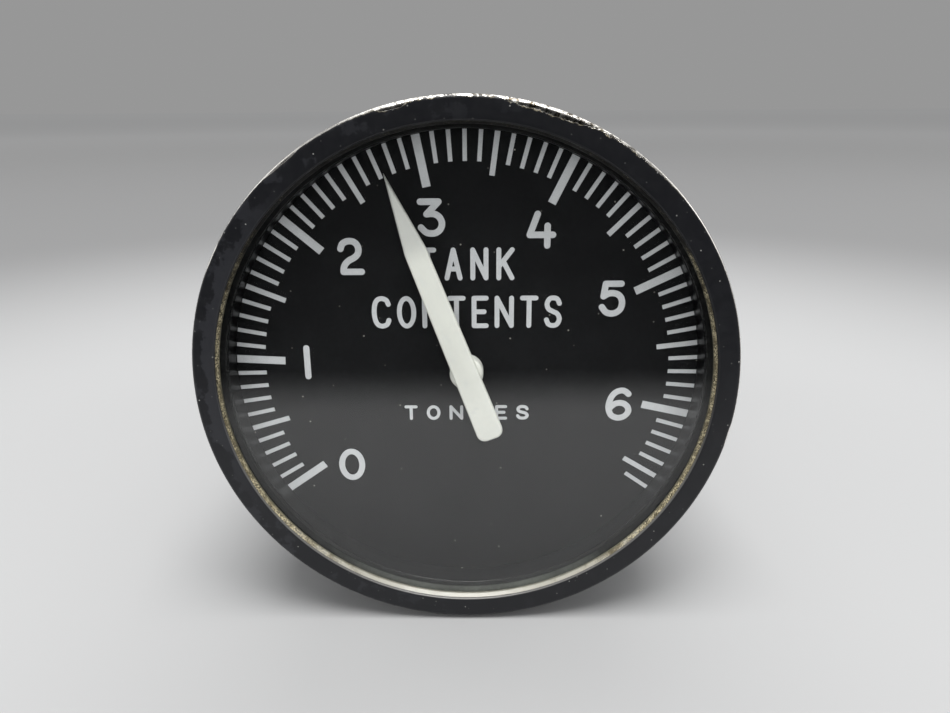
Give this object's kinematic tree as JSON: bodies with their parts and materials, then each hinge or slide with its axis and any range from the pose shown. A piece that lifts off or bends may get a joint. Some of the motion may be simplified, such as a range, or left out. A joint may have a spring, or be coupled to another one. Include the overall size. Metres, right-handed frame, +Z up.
{
  "type": "aircraft fuel gauge",
  "caption": "Round panel fuel gauge: black bezel, glazed dial with a white lance pointer, clamp-mounted can, geared servo movement and a rear connector socket.",
  "frame": {"origin": "on the gauge's axis, at the rear face of the bezel that seats on the panel", "axes": "-Y out of the dial towards the reader, +Y to the rear along the case, +Z up, +X to the reader's right"},
  "size_m": [0.0514, 0.0919, 0.0514],
  "materials": {
    "bezel_paint": "satin black paint, worn on the edges",
    "case_paint": "semi-gloss black enamel",
    "seal_compound": "gritty tan sealing compound",
    "glass": "clear, greenish at the edge",
    "black_rubber": "black rubber",
    "black_satin": "semi-gloss black",
    "dial_black": "matt black with off-white marks",
    "pointer_white": "matt cream white",
    "steel": "turned steel",
    "brass": "turned brass",
    "plate_aluminium": "machined aluminium",
    "motor_steel": "plated steel",
    "brown_resin": "brown moulded resin",
    "copper": "enamelled copper wire",
    "board_green": "green circuit board",
    "core_iron": "stacked laminations",
    "can_metal": "plated cans",
    "blue_plastic": "blue plastic",
    "tan_ceramic": "tan ceramic",
    "olive_plate": "olive drab plated aluminium",
    "gold_contacts": "gold-plated contacts"
  },
  "bodies": {
    "housing": {"bezel": "bezel_paint", "case": "case_paint", "glass_seal": "seal_compound", "glass": "glass", "glass_gasket": "black_rubber", "connector_gasket": "black_rubber", "connector_insert": "black_rubber", "dial_mask": "black_satin", "dial": "dial_black", "stop_posts": "steel", "plate_screws": "steel", "motor_screws": "steel", "pot_screws": "steel", "board_nuts": "steel", "connector_screws": "steel", "front_bearing": "brass", "rear_bearing": "brass", "idler_bushes": "brass", "front_plate": "plate_aluminium", "rear_plate": "plate_aluminium", "plate_pillars": "plate_aluminium", "board_pillars": "plate_aluminium", "board_spacers": "plate_aluminium", "motor_cap": "plate_aluminium", "motor_can": "motor_steel", "pot_housing": "brown_resin", "pot_winding": "copper", "transformer_coil": "copper", "amplifier_board": "board_green", "connector_board": "board_green", "transformer_core": "core_iron", "transistors": "can_metal", "capacitors": "blue_plastic", "trimmers": "blue_plastic", "resistors": "tan_ceramic", "connector_shell": "olive_plate", "connector_contacts": "gold_contacts"},
    "pointer_train": {"pointer": "pointer_white", "pointer_hub": "pointer_white", "pointer_shaft": "steel", "main_gear": "brass", "stop_pin": "steel", "pot_wiper": "brass"},
    "idler": {"idler_pinion": "steel", "idler_gear": "brass"},
    "rotor": {"motor_rotor": "steel", "motor_pinion": "brass"},
    "empty_screw": {"empty_adjuster": "brass"},
    "full_screw": {"full_adjuster": "brass"}
  },
  "joints": [
    {"name": "rotor_turn", "type": "hinge", "parent": "housing", "child": "rotor", "pos_m": [0, 0, -0.01475], "axis": [0, 1, 0], "range_deg": [-1658, 2309.4]},
    {"name": "idler_turn", "type": "hinge", "parent": "housing", "child": "idler", "pos_m": [0.00671, 0, -0.00995], "axis": [0, 1, 0], "range_deg": [-740, 531.5]},
    {"name": "pointer_turn", "type": "hinge", "parent": "housing", "child": "pointer_train", "pos_m": [0, 0, 0], "axis": [0, 1, 0], "range_deg": [-106.16, 147.83]},
    {"name": "empty_adjust", "type": "hinge", "parent": "housing", "child": "empty_screw", "pos_m": [-0.0055, 0.068, -0.0155], "axis": [0, 1, 0], "range_deg": [-135, 135]},
    {"name": "full_adjust", "type": "hinge", "parent": "housing", "child": "full_screw", "pos_m": [0.0055, 0.068, -0.0155], "axis": [0, 1, 0], "range_deg": [-135, 135]}
  ],
  "couplings": [
    {"joint": "idler_turn", "follows": "rotor_turn", "ratio": -0.32},
    {"joint": "pointer_turn", "follows": "rotor_turn", "ratio": 0.064}
  ]
}
